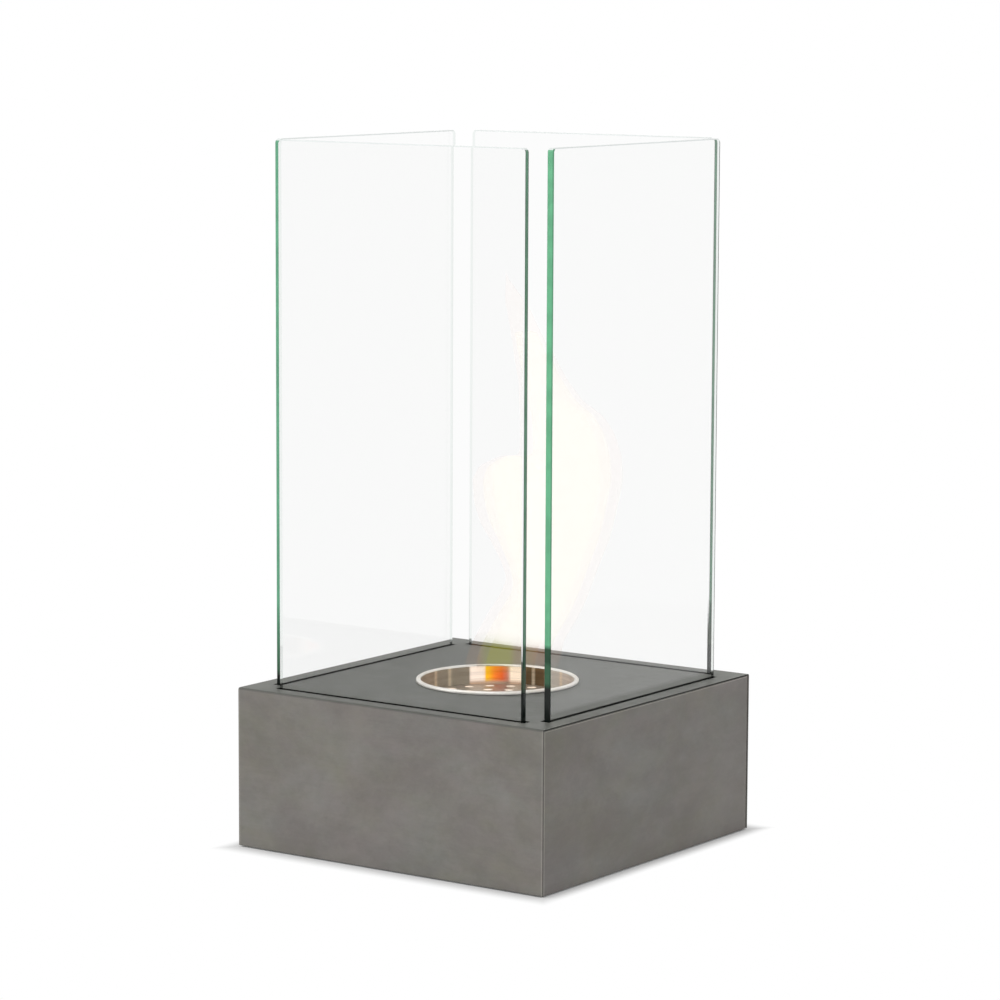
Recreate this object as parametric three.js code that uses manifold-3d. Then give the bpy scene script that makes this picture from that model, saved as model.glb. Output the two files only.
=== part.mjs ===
// Free-standing bioethanol fireplace: a square casing of bent sheet steel with a round burner
// in its top, and four panes of glass that stand in slots round the flame.
//
// Millimetres, +Z up. The origin is the middle of the square on the floor. The wide face with the
// folded upper edge is the front, at -Y. The faces with a seam along their upper edge are at +X and -X.

import * as THREE from 'three';
import { mergeVertices } from 'three/addons/utils/BufferGeometryUtils.js';
import Module from 'manifold-3d';

const wasm = await Module();
wasm.setup();

// ---------------------------------------------------------------- driving dimensions

// casing
const casingSide = 250;         // square plan, outside
const casingTop = 109.5;        // floor to the face of the top plate
const casingSheet = 1.0;        // thickness of the folded shell
const casingBend = 1.5;         // outer radius of the two folds
const skirtGap = 1.0;           // the casing's lower edge stays this far off the floor
const panelSheet = 1.0;         // thickness of the two side panels
const panelFlange = 12;         // depth of a side panel's upright flanges
const panelBend = 1.4;          // outer radius of a side panel's folds
const seamGap = 0.3;            // open seam between shell and side panel
const seatGap = 0.3;            // between a piece and what it lies on

// panes of glass and what holds them
const glassHeight = 400;
const glassThickness = 5;
const glassDepth = 31.5;        // top plate's face down to a pane's lower edge
const glassCorner = 3;          // radius of a pane's corners
const glassArris = 0.7;         // ground chamfer along a pane's edges
const glassInset = 15;          // casing's face to the middle of a pane
const slotSidePlay = 1.0;       // slot beside the glass, each side
const slotEndPlay = 2.5;        // slot past the glass, each end
const slotCornerWeb = 4.5;      // steel left between the end of a slot and the next slot
const channelSheet = 1.0;
const channelBend = 1.5;
const channelFlange = 5;        // width of a channel's welding flange
const channelOverrun = 1;       // channel past the slot, each end
const flangeCutback = 14;       // channel's flanges end this far before the channel does
const stripThickness = 2;       // soft strip under the glass
const stripSidePlay = 0.5;      // strip to channel wall, each side

// burner
const burnerRadius = 50.5;      // inside of the cup above its ledge
const burnerWall = 0.8;
const burnerDepth = 56;         // top plate's face down to the inside of the cup's floor
const rimWidth = 3.4;           // rolled rim, in plan
const rimHeight = 2.4;          // rolled rim above the top plate
const rimBend = 1.6;
const ledgeWidth = 2.2;         // step in the cup that carries the cover
const ledgeFold = 0.2;          // inner radius of the ledge's folds
const cupCorner = 5;            // radius between the cup's wall and floor
const openingPlay = 0.7;        // opening in the top plate round the cup
const coverDepth = 11;          // top plate's face down to the cover's upper face
const coverThickness = 0.8;
const coverPlay = 0.4;
const coverHole = 6.5;          // diameter of the holes
const coverRing = 14;           // distance from one ring of holes to the next
const coverRings = 3;           // the n-th ring has 6 n holes
const woolPlay = 0.4;
const woolEdge = 1.6;           // radius round the wool's upper edge

// bottom, brackets, feet and screws
const plateSheet = 1.5;
const footHeight = 5;
const footRadius = 9;
const footEdge = 1;             // radius round a foot's lower edge
const footInset = 20;           // casing's face to the middle of a foot
const footWeb = 2;              // rubber between the screw's head and the bottom plate
const bracketSheet = 1.5;
const bracketBend = 2.0;
const bracketLeg = 14;
const bracketHeight = 44;
const bracketTab = 3;           // thickness of the threaded tab
const tabReach = 12;            // tab past the middle of the screw
const screwRadius = 2;
const screwLength = 12;
const screwHeadRadius = 4;
const screwHeadHeight = 2;
const screwHeadRound = 0.6;     // rounded share of the head's height
const screwTipRound = 0.3;      // rounded share of the tip's radius
const screwPlay = 0.4;          // holes round the screws
const headPlay = 0.8;           // foot's recess round a screw's head

// how far a cutting block or rod runs past the faces that it goes through
const cutOver = 1;

// rounding in steps
const bendSteps = 3;
const ringSteps = 64;
const footSteps = 24;
const holeSteps = 16;

// ---------------------------------------------------------------- derived places

const half = casingSide / 2;
const topUnder = casingTop - casingSheet;
const slotLine = half - glassInset;                       // middle of a pane from the centre
const slotWidth = glassThickness + 2 * slotSidePlay;
const slotLength = 2 * (slotLine - slotWidth / 2 - slotCornerWeb);
const glassWidth = slotLength - 2 * slotEndPlay;
const glassFoot = casingTop - glassDepth;                 // lower edge of a pane
const stripTop = glassFoot - seatGap;
const channelFloor = stripTop - stripThickness - seatGap;
const channelTop = topUnder - seatGap;
const channelLength = slotLength + 2 * channelOverrun;
const openingRadius = burnerRadius + burnerWall + openingPlay;
const rimRadius = burnerRadius + rimWidth;
const rimTop = casingTop + rimHeight;
const ledgeTop = casingTop - coverDepth - coverThickness - seatGap;
const lowerRadius = burnerRadius - ledgeWidth;
const cupFloor = casingTop - burnerDepth;
const plateUnder = footHeight + seatGap;
const plateTop = plateUnder + plateSheet;
const footLine = half - footInset;
const screwHeadTop = footHeight - footWeb - seatGap;
const panelHalf = half - casingSheet - seamGap;           // side panel's half length along Y
const panelTop = topUnder - seamGap;

// ---------------------------------------------------------------- helpers

const xyz = (x, y, z) => new THREE.Vector3(x, y, z);
const pt = (x, y) => new THREE.Vector2(x, y);

/** Corner points of a polyline, each corner rounded with its own radius. */
function roundCorners(points, radii, steps) {
  const out = [points[0].clone()];
  for (let i = 1; i < points.length - 1; i += 1) {
    const corner = points[i];
    const back = points[i - 1].clone().sub(corner).normalize();
    const on = points[i + 1].clone().sub(corner).normalize();
    const halfAngle = Math.acos(THREE.MathUtils.clamp(back.dot(on), -1, 1)) / 2;
    const radius = radii[i - 1];
    if (radius <= 0) {
      out.push(corner.clone());
      continue;
    }
    const inward = back.clone().add(on).normalize();
    const centre = inward.multiplyScalar(radius / Math.sin(halfAngle)).add(corner);
    const start = back.clone().multiplyScalar(radius / Math.tan(halfAngle)).add(corner).sub(centre);
    const end = on.clone().multiplyScalar(radius / Math.tan(halfAngle)).add(corner).sub(centre);
    const sweep = Math.atan2(start.cross(end), start.dot(end));
    for (let k = 0; k <= steps; k += 1) {
      out.push(start.clone().rotateAround(pt(0, 0), (sweep * k) / steps).add(centre));
    }
  }
  out.push(points[points.length - 1].clone());
  return out;
}

/**
 * Outline of a sheet folded along a path. The path is the sheet's left face, the sheet lies on its
 * right, and bends gives each fold's outer radius.
 */
function foldedSheet(path, sheet, bends, steps = bendSteps) {
  const directions = path.slice(1).map((p, i) => p.clone().sub(path[i]).normalize());
  const rightOf = (d) => pt(d.y, -d.x);
  const far = path.map((p, i) => {
    if (i === 0) return p.clone().addScaledVector(rightOf(directions[0]), sheet);
    if (i === path.length - 1) return p.clone().addScaledVector(rightOf(directions[i - 1]), sheet);
    const a = rightOf(directions[i - 1]);
    const b = rightOf(directions[i]);
    return p.clone().addScaledVector(a.clone().add(b), sheet / (1 + a.dot(b)));
  });
  const turnsRight = directions.slice(1).map((d, i) => directions[i].cross(d) < 0);
  const near = roundCorners(path, bends.map((r, i) => (turnsRight[i] ? r : r - sheet)), steps);
  const back = roundCorners(far, bends.map((r, i) => (turnsRight[i] ? r - sheet : r)), steps);
  return [...near, ...back.reverse()];
}

/** A closed mesh with shared corners, no flat triangles and its faces pointing out. */
function closed(geometry) {
  const bare = geometry.clone();
  bare.deleteAttribute('normal');
  bare.deleteAttribute('uv');
  const merged = mergeVertices(bare, 1e-4);
  const index = merged.getIndex().array;
  const corners = merged.getAttribute('position');
  const at = (i) => xyz(corners.getX(i), corners.getY(i), corners.getZ(i));
  const kept = [];
  let volume = 0;
  for (let i = 0; i < index.length; i += 3) {
    const [a, b, c] = [index[i], index[i + 1], index[i + 2]];
    if (a === b || b === c || c === a) continue;
    kept.push(a, b, c);
    volume += at(a).dot(at(b).cross(at(c)));
  }
  if (volume < 0) kept.reverse();
  merged.setIndex(kept);
  return merged;
}

/** Geometry to a solid that can be joined and cut. */
function solid(geometry) {
  const mesh = closed(geometry);
  return new wasm.Manifold(new wasm.Mesh({
    numProp: 3,
    vertProperties: new Float32Array(mesh.getAttribute('position').array),
    triVerts: new Uint32Array(mesh.getIndex().array),
  }));
}

/** Solid back to geometry. */
function skin(body) {
  const mesh = body.getMesh();
  const geometry = new THREE.BufferGeometry();
  geometry.setAttribute('position', new THREE.BufferAttribute(new Float32Array(mesh.vertProperties), 3));
  geometry.setIndex([...mesh.triVerts]);
  geometry.computeVertexNormals();
  return geometry;
}

/** Box between two corners. */
function block(low, high) {
  const geometry = new THREE.BoxGeometry(high.x - low.x, high.y - low.y, high.z - low.z);
  return geometry.translate((low.x + high.x) / 2, (low.y + high.y) / 2, (low.z + high.z) / 2);
}

/** Upright cylinder. */
function rod(radius, x, y, bottom, top, steps = ringSteps) {
  const geometry = new THREE.CylinderGeometry(radius, radius, top - bottom, steps);
  return geometry.rotateX(Math.PI / 2).translate(x, y, (bottom + top) / 2);
}

/** Outline drawn out to a depth along its normal. */
function drawn(outline, depth) {
  return new THREE.ExtrudeGeometry(new THREE.Shape(outline), { depth, bevelEnabled: false });
}

/** Outline in Y and Z, drawn out along X about the middle. */
function alongX(outline, length) {
  const geometry = drawn(outline, length).translate(0, 0, -length / 2);
  return geometry.applyMatrix4(new THREE.Matrix4().makeBasis(xyz(0, 1, 0), xyz(0, 0, 1), xyz(1, 0, 0)));
}

/** Outline in X and Y, drawn up from one height to another. */
function alongZ(outline, bottom, top) {
  return drawn(outline, top - bottom).translate(0, 0, bottom);
}

/** Half section in radius and height, turned about the Z axis. */
function turned(section, steps = ringSteps) {
  return closed(new THREE.LatheGeometry(section, steps)).rotateX(Math.PI / 2);
}

// ---------------------------------------------------------------- materials

function finish(color, roughness, metalness) {
  return new THREE.MeshStandardMaterial({ color, roughness, metalness });
}

const casingSteel = finish(0x7d7b76, 0.45, 0.85);
const zincSteel = finish(0x8a8c8c, 0.45, 0.9);
const blackSteel = finish(0x242424, 0.6, 0.3);
const stainless = finish(0xc9c4ba, 0.28, 1.0);
const screwSteel = finish(0xa8aaac, 0.35, 1.0);
const rubber = finish(0x1c1c1c, 0.85, 0.0);
const silicone = finish(0xd8dcda, 0.7, 0.0);
const wool = finish(0xf1eee6, 1.0, 0.0);
const glass = new THREE.MeshStandardMaterial({
  color: 0xe6f3ee, roughness: 0.03, metalness: 0.0, transparent: true, opacity: 0.3,
});

const fireplace = new THREE.Group();

/** Adds a named piece to a group. */
function piece(name, geometry, material, group = fireplace) {
  const mesh = new THREE.Mesh(geometry, material);
  mesh.name = name;
  group.add(mesh);
  return mesh;
}

// ---------------------------------------------------------------- casing

/** One sheet folded down at the front and the back, with the slots and the burner's opening. */
function casingShell() {
  const path = [pt(-half, skirtGap), pt(-half, casingTop), pt(half, casingTop), pt(half, skirtGap)];
  let shell = solid(alongX(foldedSheet(path, casingSheet, [casingBend, casingBend]), casingSide));
  for (let k = 0; k < 4; k += 1) {
    const slot = block(
      xyz(-slotLength / 2, -slotLine - slotWidth / 2, topUnder - cutOver),
      xyz(slotLength / 2, -slotLine + slotWidth / 2, casingTop + cutOver),
    );
    shell = shell.subtract(solid(slot.rotateZ((k * Math.PI) / 2)));
  }
  return skin(shell.subtract(solid(rod(openingRadius, 0, 0, topUnder - cutOver, casingTop + cutOver))));
}

/** A panel that closes one end of the shell, with a flange folded in along each upright edge. */
function sidePanel() {
  const tip = half - panelFlange;
  const path = [pt(tip, panelHalf), pt(half, panelHalf), pt(half, -panelHalf), pt(tip, -panelHalf)];
  return closed(alongZ(foldedSheet(path, panelSheet, [panelBend, panelBend]), skirtGap, panelTop));
}

piece('casing_shell', casingShell(), casingSteel);
piece('side_panel_right', sidePanel(), casingSteel);
piece('side_panel_left', sidePanel(), casingSteel).rotation.z = Math.PI;

// ---------------------------------------------------------------- panes, channels and strips

/** A pane with rounded corners and ground edges, lower edge at height 0, standing in the XZ plane. */
function pane() {
  const w = glassWidth / 2;
  const ring = roundCorners(
    [pt(0, 0), pt(w, 0), pt(w, glassHeight), pt(-w, glassHeight), pt(-w, 0), pt(0, 0)],
    [glassCorner, glassCorner, glassCorner, glassCorner],
    bendSteps,
  );
  const geometry = new THREE.ExtrudeGeometry(new THREE.Shape(ring.slice(0, -1)), {
    depth: glassThickness - 2 * glassArris,
    bevelThickness: glassArris,
    bevelSize: glassArris,
    bevelOffset: -glassArris,
    bevelSegments: 1,
  });
  return closed(geometry.translate(0, 0, glassArris - glassThickness / 2).rotateX(Math.PI / 2));
}

/** A hat-shaped channel that hangs under a slot. Its flanges are cut back at both ends. */
function channel() {
  const inner = slotWidth / 2;
  const tip = inner + channelFlange + channelSheet;
  const path = [
    pt(-tip, channelTop), pt(-inner, channelTop), pt(-inner, channelFloor),
    pt(inner, channelFloor), pt(inner, channelTop), pt(tip, channelTop),
  ];
  const bends = [channelBend, channelBend, channelBend, channelBend];
  let body = solid(alongX(foldedSheet(path, channelSheet, bends), channelLength));
  const notch = block(
    xyz(channelLength / 2 - flangeCutback, inner + channelSheet, channelTop - channelSheet - channelBend),
    xyz(channelLength / 2 + cutOver, tip + cutOver, channelTop + cutOver),
  );
  for (const end of [-1, 1]) {
    for (const side of [-1, 1]) {
      body = body.subtract(solid(notch.clone().scale(end, side, 1)));
    }
  }
  return skin(body);
}

/** The soft strip on a channel's floor. */
function strip() {
  const w = slotWidth / 2 - stripSidePlay;
  return block(
    xyz(-glassWidth / 2, -w, stripTop - stripThickness),
    xyz(glassWidth / 2, w, stripTop),
  );
}

['front', 'right', 'back', 'left'].forEach((side, k) => {
  const group = new THREE.Group();
  group.rotation.z = (k * Math.PI) / 2;
  fireplace.add(group);
  piece(`glass_${side}`, pane(), glass, group).position.set(0, -slotLine, glassFoot);
  piece(`glass_channel_${side}`, channel(), blackSteel, group).position.y = -slotLine;
  piece(`glass_strip_${side}`, strip(), silicone, group).position.y = -slotLine;
});

// ---------------------------------------------------------------- burner

/** Drawn cup: floor, wall, ledge for the cover, upper wall and rolled rim. */
function burnerCup() {
  const path = [
    pt(0, cupFloor), pt(lowerRadius, cupFloor), pt(lowerRadius, ledgeTop), pt(burnerRadius, ledgeTop),
    pt(burnerRadius, rimTop), pt(rimRadius, rimTop), pt(rimRadius, casingTop + seatGap),
  ];
  const ledgeBend = burnerWall + ledgeFold;
  const bends = [cupCorner, ledgeBend, ledgeBend, rimBend, rimBend];
  return turned(foldedSheet(path, burnerWall, bends));
}

/** Perforated disc: a hole in the middle and rings of holes round it. */
function burnerCover() {
  const circle = (x, y, radius, steps) => Array.from({ length: steps }, (_, i) => {
    const angle = (2 * Math.PI * i) / steps;
    return pt(x + radius * Math.cos(angle), y + radius * Math.sin(angle));
  });
  const disc = new THREE.Shape(circle(0, 0, burnerRadius - coverPlay, ringSteps));
  const punch = (x, y) => disc.holes.push(new THREE.Path(circle(x, y, coverHole / 2, holeSteps)));
  punch(0, 0);
  for (let ring = 1; ring <= coverRings; ring += 1) {
    for (let i = 0; i < 6 * ring; i += 1) {
      const angle = (2 * Math.PI * (i + 0.5)) / (6 * ring);
      punch(ring * coverRing * Math.cos(angle), ring * coverRing * Math.sin(angle));
    }
  }
  const geometry = new THREE.ExtrudeGeometry(disc, { depth: coverThickness, bevelEnabled: false });
  return closed(geometry.translate(0, 0, casingTop - coverDepth - coverThickness));
}

/** Pad of ceramic wool that fills the cup under the cover. */
function ceramicWool() {
  const radius = lowerRadius - woolPlay;
  const bottom = cupFloor + seatGap;
  const top = ledgeTop - 2 * seatGap;
  const path = [pt(0, bottom), pt(radius, bottom), pt(radius, top), pt(0, top)];
  return turned(roundCorners(path, [cupCorner, woolEdge], bendSteps), ringSteps / 2);
}

piece('burner_cup', burnerCup(), stainless);
piece('burner_cover', burnerCover(), stainless);
piece('ceramic_wool', ceramicWool(), wool);

// ---------------------------------------------------------------- bottom plate, brackets, feet and screws

const corners = {
  front_left: [-1, -1],
  front_right: [1, -1],
  back_right: [1, 1],
  back_left: [-1, 1],
};

/** What is cut away for a foot's screw between two heights. */
function screwHole(sx, sy, bottom, top) {
  const radius = screwRadius + screwPlay;
  return solid(rod(radius, sx * footLine, sy * footLine, bottom - cutOver, top + cutOver, holeSteps));
}

/** Flat plate between the skirts, with a hole for each foot's screw. */
function bottomPlate() {
  const x = half - panelSheet - seamGap;
  const y = panelHalf - panelSheet - seamGap;
  let plate = solid(block(xyz(-x, -y, plateUnder), xyz(x, y, plateTop)));
  for (const [sx, sy] of Object.values(corners)) {
    plate = plate.subtract(screwHole(sx, sy, plateUnder, plateTop));
  }
  return skin(plate);
}

/** Angle welded into a corner of the casing, with a threaded tab that lies on the bottom plate. */
function cornerBracket([sx, sy]) {
  const x = half - panelSheet - seatGap;
  const y = panelHalf - panelSheet - seatGap;
  const bottom = plateTop + seatGap;
  const legs = [pt(sx * (x - bracketLeg), sy * y), pt(sx * x, sy * y), pt(sx * x, sy * (y - bracketLeg))];
  const path = sx * sy > 0 ? legs : legs.reverse();
  const outline = foldedSheet(path, bracketSheet, [bracketBend]);
  const angle = solid(alongZ(outline, bottom, bottom + bracketHeight));
  const inner = footLine - tabReach;
  const xs = [sx * inner, sx * (x - bracketSheet / 2)].sort((a, b) => a - b);
  const ys = [sy * inner, sy * (y - bracketSheet / 2)].sort((a, b) => a - b);
  const tab = solid(block(xyz(xs[0], ys[0], bottom), xyz(xs[1], ys[1], bottom + bracketTab)));
  return skin(angle.add(tab).subtract(screwHole(sx, sy, bottom, bottom + bracketTab)));
}

/** Rubber foot with a recess for the screw's head. */
function foot() {
  const recess = screwHeadRadius + headPlay;
  const bore = screwRadius + screwPlay;
  const floor = footHeight - footWeb;
  const path = [
    pt(bore, footHeight), pt(footRadius, footHeight), pt(footRadius, 0), pt(recess, 0),
    pt(recess, floor), pt(bore, floor), pt(bore, footHeight),
  ];
  return turned(roundCorners(path, [0, footEdge, 0, 0, 0], bendSteps), footSteps);
}

/** Pan-head screw, head down. */
function screw() {
  const base = screwHeadTop - screwHeadHeight;
  const tip = screwHeadTop + screwLength;
  const path = [
    pt(0, base), pt(screwHeadRadius, base), pt(screwHeadRadius, screwHeadTop),
    pt(screwRadius, screwHeadTop), pt(screwRadius, tip), pt(0, tip),
  ];
  const radii = [screwHeadHeight * screwHeadRound, 0, 0, screwRadius * screwTipRound];
  return turned(roundCorners(path, radii, bendSteps), holeSteps);
}

piece('bottom_plate', bottomPlate(), zincSteel);
for (const [where, [sx, sy]] of Object.entries(corners)) {
  piece(`corner_bracket_${where}`, cornerBracket([sx, sy]), zincSteel);
  piece(`foot_${where}`, foot(), rubber).position.set(sx * footLine, sy * footLine, 0);
  piece(`foot_screw_${where}`, screw(), screwSteel).position.set(sx * footLine, sy * footLine, 0);
}

export default fireplace;
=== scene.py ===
"""A free-standing bioethanol fireplace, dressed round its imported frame.

Metres, +Z up, the front towards -Y. The script follows the fireplace as it is put together: the
studio, the folded casing, the bottom with its feet, the slots with their panes, the burner, the flame.
"""
import math

import bmesh
import bpy
from mathutils import Matrix, Vector, noise


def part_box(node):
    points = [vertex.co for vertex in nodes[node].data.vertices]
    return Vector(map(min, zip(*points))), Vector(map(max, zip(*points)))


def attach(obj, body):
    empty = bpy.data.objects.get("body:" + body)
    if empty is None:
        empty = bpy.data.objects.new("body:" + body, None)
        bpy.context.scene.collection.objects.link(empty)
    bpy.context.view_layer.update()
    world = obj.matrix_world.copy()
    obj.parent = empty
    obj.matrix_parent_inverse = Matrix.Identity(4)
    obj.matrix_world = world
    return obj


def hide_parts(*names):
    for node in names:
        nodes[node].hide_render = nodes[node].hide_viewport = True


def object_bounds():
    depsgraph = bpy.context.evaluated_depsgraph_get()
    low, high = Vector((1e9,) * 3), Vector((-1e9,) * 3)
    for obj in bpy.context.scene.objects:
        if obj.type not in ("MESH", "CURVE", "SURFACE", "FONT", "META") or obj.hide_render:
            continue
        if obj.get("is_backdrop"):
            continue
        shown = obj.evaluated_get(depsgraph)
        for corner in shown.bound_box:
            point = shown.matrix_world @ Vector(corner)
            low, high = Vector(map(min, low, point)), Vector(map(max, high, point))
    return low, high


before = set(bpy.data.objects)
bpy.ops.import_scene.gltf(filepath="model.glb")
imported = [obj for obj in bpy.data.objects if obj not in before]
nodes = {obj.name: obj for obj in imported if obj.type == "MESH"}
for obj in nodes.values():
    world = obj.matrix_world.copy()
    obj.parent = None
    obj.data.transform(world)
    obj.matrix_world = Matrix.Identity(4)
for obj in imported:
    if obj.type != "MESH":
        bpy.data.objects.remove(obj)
cad_low, cad_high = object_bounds()


# ---------------------------------------------------------------- studio
# The photograph is taken from 2.6 m away with a long lens, a little above the burner, in front of a
# white sweep. The light comes from all round, a bit more from above and from the left of the camera.

PHOTO_SIDE = 1000                     # pixels
FOCAL = 3816.9                        # pixels
SENSOR = 36.0                         # mm
EYE = Vector((1.4796, -2.0939, 0.5818))
TURN, DIP, ROLL = (math.radians(v) for v in (35.207, 7.730, 0.261))
ROOM_LIGHT = 0.70                     # what matt surfaces get from the room, where 1 is white
SWEEP_SIZE = 12                       # metres
SWEEP_CELLS = 24
# The floor's white glow is mixed out near the casing, so the shadow's reach and depth set below are
# painted shadow.
SHADOW_REACH = 0.019                  # how far the soft shadow reaches out from the casing
SIDE_SHARE = 1.35                     # how much faster it fades out at the sides
FLOOR_SHINE = 0.12                    # share of white that the floor keeps in the shadow
GAP_SHINE = 0.05                      # and in the gap under the casing
GAP_FROM, GAP_TO = -0.004, 0.0004     # where it comes up from that, outwards from the casing's edge
AIM = Vector((0, 0, 0.11))            # the burner, at which the lamps are aimed


def calm():
    """Nothing is selected, and no mesh is open."""
    if bpy.context.mode != "OBJECT":
        bpy.ops.object.mode_set(mode="OBJECT")
    bpy.ops.object.select_all(action="DESELECT")


def add_node(tree, kind, inputs=None, **settings):
    """A node with its settings, and its inputs given as plain values or as sockets to link from."""
    made = tree.nodes.new(kind)
    for key, value in settings.items():
        setattr(made, key, value)
    for key, value in (inputs or {}).items():
        if isinstance(value, bpy.types.NodeSocket):
            tree.links.new(value, made.inputs[key])
        else:
            made.inputs[key].default_value = value
    return made


def maths(tree, operation, first, second=0.0, third=0.0, clamp=False):
    """The result of one sum on plain values or sockets."""
    inputs = {0: first, 1: second, 2: third}
    return add_node(tree, "ShaderNodeMath", inputs, operation=operation, use_clamp=clamp).outputs[0]


def ease(tree, value, low, high, first=0.0, last=1.0):
    """A smooth step from first to last while value goes from low to high."""
    inputs = {"Value": value, "From Min": low, "From Max": high, "To Min": first, "To Max": last}
    return add_node(tree, "ShaderNodeMapRange", inputs, interpolation_type="SMOOTHSTEP").outputs["Result"]


def seen_directly(tree):
    """1 for what the camera sees straight, in gloss or through glass, and 0 for matt light."""
    path = add_node(tree, "ShaderNodeLightPath").outputs
    straight = maths(tree, "ADD", path["Is Camera Ray"], path["Is Glossy Ray"])
    return maths(tree, "ADD", straight, path["Is Transmission Ray"], clamp=True)


def xyz(tree, place):
    """A place's three coordinates as sockets."""
    return add_node(tree, "ShaderNodeSeparateXYZ", {0: place}).outputs


def fresh_tree(owner):
    """The empty node tree of a material or a world."""
    owner.use_nodes = True
    owner.node_tree.nodes.clear()
    return owner.node_tree


def new_material(name):
    """A material, its empty tree and the socket of the place on the piece."""
    made = bpy.data.materials.new(name)
    tree = fresh_tree(made)
    return made, tree, add_node(tree, "ShaderNodeTexCoord").outputs["Object"]


def mixed(tree, share, first, second):
    """Two shaders mixed by a share."""
    return add_node(tree, "ShaderNodeMixShader", {0: share, 1: first, 2: second}).outputs[0]


def show(tree, surface):
    """Ends a material with its surface."""
    add_node(tree, "ShaderNodeOutputMaterial", {"Surface": surface})


calm()
back = Vector((math.sin(TURN) * math.cos(DIP), -math.cos(TURN) * math.cos(DIP), math.sin(DIP)))
level = Vector((math.cos(TURN), math.sin(TURN), 0))
upright = back.cross(level)
right = level * math.cos(ROLL) + upright * math.sin(ROLL)
up = upright * math.cos(ROLL) - level * math.sin(ROLL)
bpy.ops.object.camera_add()
camera = bpy.context.object
camera.name = "camera"
camera.matrix_world = Matrix.Translation(EYE) @ Matrix((right, up, back)).transposed().to_4x4()
camera.data.sensor_width = SENSOR
camera.data.lens = FOCAL / PHOTO_SIDE * SENSOR
bpy.context.scene.camera = camera
bpy.context.scene.view_settings.view_transform = "Standard"

world = bpy.data.worlds.new("white_room")
bpy.context.scene.world = world
tree = fresh_tree(world)
brightness = ease(tree, seen_directly(tree), 0.0, 1.0, ROOM_LIGHT, 1.0)
background = add_node(tree, "ShaderNodeBackground", {"Color": (1, 1, 1, 1), "Strength": brightness})
add_node(tree, "ShaderNodeOutputWorld", {"Surface": background.outputs[0]})

sweep_paper, tree, place = new_material("sweep_paper")
edge = cad_high.x
wide, deep = (maths(tree, "ABSOLUTE", socket) for socket in xyz(tree, place)[:2])
aside = maths(tree, "MULTIPLY_ADD", wide, SIDE_SHARE, (1 - SIDE_SHARE) * edge)
square = maths(tree, "MAXIMUM", aside, deep)
# painted shadow: the share of the floor's white glow grows with the distance from the casing
shine = ease(tree, square, edge + GAP_FROM, edge + GAP_TO, GAP_SHINE, FLOOR_SHINE)
spread = ease(tree, square, edge, edge + SHADOW_REACH, 0.0, 1.0 - FLOOR_SHINE)
clear = maths(tree, "ADD", shine, spread)
matt = add_node(tree, "ShaderNodeBsdfDiffuse", {"Color": (0.8, 0.8, 0.8, 1)}).outputs[0]
white = add_node(tree, "ShaderNodeEmission", {"Strength": 1.0}).outputs[0]
share = maths(tree, "MULTIPLY", clear, seen_directly(tree))
show(tree, mixed(tree, share, matt, white))

calm()
bpy.ops.mesh.primitive_grid_add(x_subdivisions=SWEEP_CELLS, y_subdivisions=SWEEP_CELLS, size=SWEEP_SIZE)
sweep = bpy.context.object
sweep.name = "sweep"
sweep.data.materials.append(sweep_paper)
sweep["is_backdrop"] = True

# name, place, size and power of each soft box, all aimed at the burner
SOFT_BOXES = (
    ("soft_box_top", (-0.5, -0.9, 2.6), 2.0, 14.0),
    ("soft_box_left", (-2.2, -2.2, 1.4), 1.6, 12.0),
)
for name, spot, width, power in SOFT_BOXES:
    calm()
    aim = (AIM - Vector(spot)).to_track_quat("-Z", "Y").to_euler()
    bpy.ops.object.light_add(type="AREA", location=spot, rotation=aim)
    soft_box = bpy.context.object
    soft_box.name = name
    soft_box.data.size = width
    soft_box.data.energy = power


# ---------------------------------------------------------------- casing shell
# One sheet of 1 mm cold-rolled steel, folded down at the front and the back. The slots and the round
# opening are punched first. It is brushed along its length, oiled, and cloudy under a clear lacquer.

shell_low, shell_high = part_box("casing_shell")
pane_low, pane_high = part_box("glass_front")
SHEET = 0.001
FOLD = 0.0015                         # outer radius of a fold
SLOT_SIDE = 0.001                     # slot past the glass, each side
SLOT_END = 0.0025                     # slot past the glass, each end
RIM_LAP = 0.0019                      # how far the burner's rim lies over the casing
PUNCHED_EDGE = 0.00012                # softened edge round what is punched
PUNCH_REACH = 0.004                   # how far a punch stands out, above and below
SHARP = 40                            # degrees from which an edge is sharp
OPENING_CORNERS = 128
BEND_STEPS = 8                        # flats that a bend is made of
NEAR = 1e-5                           # places no further apart than this are taken as one
MASK_EDGE = 0.00008                   # half of the soft edge of a material's mask
slot_half = pane_high.x + SLOT_END
slot_near = pane_high.y + SLOT_SIDE
slot_far = pane_low.y - SLOT_SIDE
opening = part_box("burner_cup")[1].x - RIM_LAP


def pick(*pieces):
    """Selects only these pieces and makes the first one active."""
    calm()
    for piece in pieces:
        piece.select_set(True)
    bpy.context.view_layer.objects.active = pieces[0]


def settle(obj, name):
    """Puts a new piece's place in its mesh and names it."""
    pick(obj)
    bpy.ops.object.transform_apply(location=True, rotation=True, scale=True)
    obj.name = name
    obj.data.name = name
    return obj


def new_box(name, low, high):
    """A cube between two corners."""
    calm()
    low, high = Vector(low), Vector(high)
    bpy.ops.mesh.primitive_cube_add(size=1, location=(low + high) / 2)
    bpy.context.object.scale = high - low
    return settle(bpy.context.object, name)


def open_mesh(obj, kind, wanted):
    """Opens a mesh for shaping, with the corners, edges or faces selected for which wanted is true."""
    pick(obj)
    bpy.ops.object.mode_set(mode="EDIT")
    bpy.ops.mesh.select_mode(type=kind)
    bpy.ops.mesh.select_all(action="DESELECT")
    mesh = bmesh.from_edit_mesh(obj.data)
    for part in {"VERT": mesh.verts, "EDGE": mesh.edges, "FACE": mesh.faces}[kind]:
        if wanted(part):
            part.select_set(True)
    mesh.select_flush_mode()
    bmesh.update_edit_mesh(obj.data)


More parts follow.
